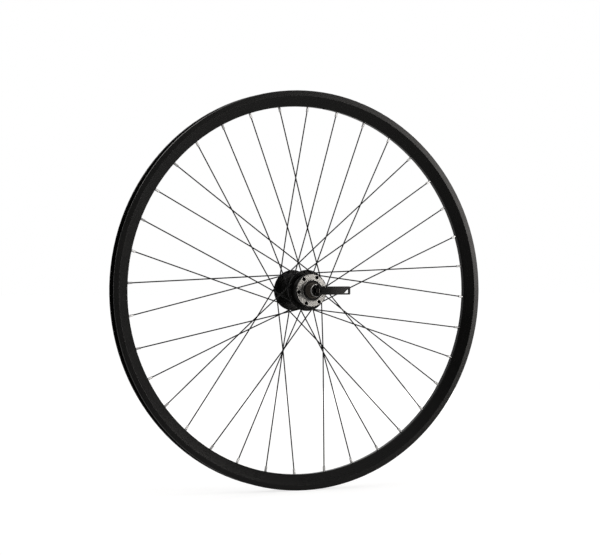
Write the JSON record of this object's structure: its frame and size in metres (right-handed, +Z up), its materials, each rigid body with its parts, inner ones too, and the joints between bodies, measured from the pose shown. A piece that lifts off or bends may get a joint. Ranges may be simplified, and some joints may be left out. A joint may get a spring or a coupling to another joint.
{
  "type": "bicycle front wheel",
  "caption": "Bare front bicycle wheel with a black hollow rim, crossed black spokes, silver nipples, a disc brake hub and a quick release lever",
  "frame": {"origin": "the wheel's centre, on the axle, in the middle plane of the rim", "axes": "the wheel spins about Y, with the disc brake side at -Y; Z is up and +X is the way the closed lever points"},
  "size_m": [0.6339, 0.1366, 0.634],
  "materials": {
    "rim_black": "black anodised, satin, with smoother brake-track height side walls",
    "hub_black": "black anodised, with a bright turned rotor face",
    "spoke_black": "black coated steel wire",
    "nipple_silver": "nickel plated",
    "bearing_steel": "ground",
    "seal_rubber": "moulded, matt",
    "axle_steel": "turned",
    "cap_black": "black anodised, turned",
    "qr_steel": "plated, turned",
    "qr_black": "black coated, satin"
  },
  "bodies": {
    "axle_set": {"axle": "axle_steel", "bearing_inner_ring_disc_side": "bearing_steel", "bearing_inner_ring_far_side": "bearing_steel", "axle_cap_disc_side": "cap_black", "axle_cap_far_side": "cap_black"},
    "wheel": {"rim": "rim_black", "hub_shell": "hub_black", "spoke_nipples": "nipple_silver", "bearing_seals": "seal_rubber", "bearing_outer_ring_disc_side": "bearing_steel", "bearing_outer_ring_far_side": "bearing_steel", "dust_seal_disc_side": "seal_rubber", "dust_seal_far_side": "seal_rubber", "spoke_01": "spoke_black", "spoke_02": "spoke_black", "spoke_03": "spoke_black", "spoke_04": "spoke_black", "spoke_05": "spoke_black", "spoke_06": "spoke_black", "spoke_07": "spoke_black", "spoke_08": "spoke_black", "spoke_09": "spoke_black", "spoke_10": "spoke_black", "spoke_11": "spoke_black", "spoke_12": "spoke_black", "spoke_13": "spoke_black", "spoke_14": "spoke_black", "spoke_15": "spoke_black", "spoke_16": "spoke_black", "spoke_17": "spoke_black", "spoke_18": "spoke_black", "spoke_19": "spoke_black", "spoke_20": "spoke_black", "spoke_21": "spoke_black", "spoke_22": "spoke_black", "spoke_23": "spoke_black", "spoke_24": "spoke_black", "spoke_25": "spoke_black", "spoke_26": "spoke_black", "spoke_27": "spoke_black", "spoke_28": "spoke_black", "spoke_29": "spoke_black", "spoke_30": "spoke_black", "spoke_31": "spoke_black", "spoke_32": "spoke_black", "spoke_33": "spoke_black", "spoke_34": "spoke_black", "spoke_35": "spoke_black", "spoke_36": "spoke_black"},
    "skewer_cup": {"qr_cup": "qr_steel", "qr_spring_disc_side": "qr_steel"},
    "skewer_rod": {"qr_rod": "qr_steel"},
    "cam_lever": {"qr_lever": "qr_black", "qr_pivot_pin": "qr_steel"},
    "adjusting_nut": {"qr_nut": "qr_black", "qr_spring_far_side": "qr_steel"}
  },
  "joints": [
    {"name": "wheel_spin", "type": "hinge", "parent": "axle_set", "child": "wheel", "pos_m": [0, 0, 0], "axis": [0, 1, 0], "continuous": true},
    {"name": "skewer_turn", "type": "hinge", "parent": "axle_set", "child": "skewer_cup", "pos_m": [0, -0.0575, 0], "axis": [0, 1, 0], "continuous": true},
    {"name": "rod_draw", "type": "slide", "parent": "skewer_cup", "child": "skewer_rod", "axis": [0, 1, 0], "range_m": [0, 0.0022]},
    {"name": "lever_flip", "type": "hinge", "parent": "skewer_rod", "child": "cam_lever", "pos_m": [0, -0.0646, 0], "axis": [0, 0, -1], "range_deg": [0, 180]},
    {"name": "nut_turn", "type": "hinge", "parent": "skewer_rod", "child": "adjusting_nut", "pos_m": [0, 0.06, 0], "axis": [0, 1, 0], "continuous": true}
  ],
  "couplings": [
    {"joint": "rod_draw", "follows": "lever_flip", "m_per_rad": 0.0007}
  ]
}
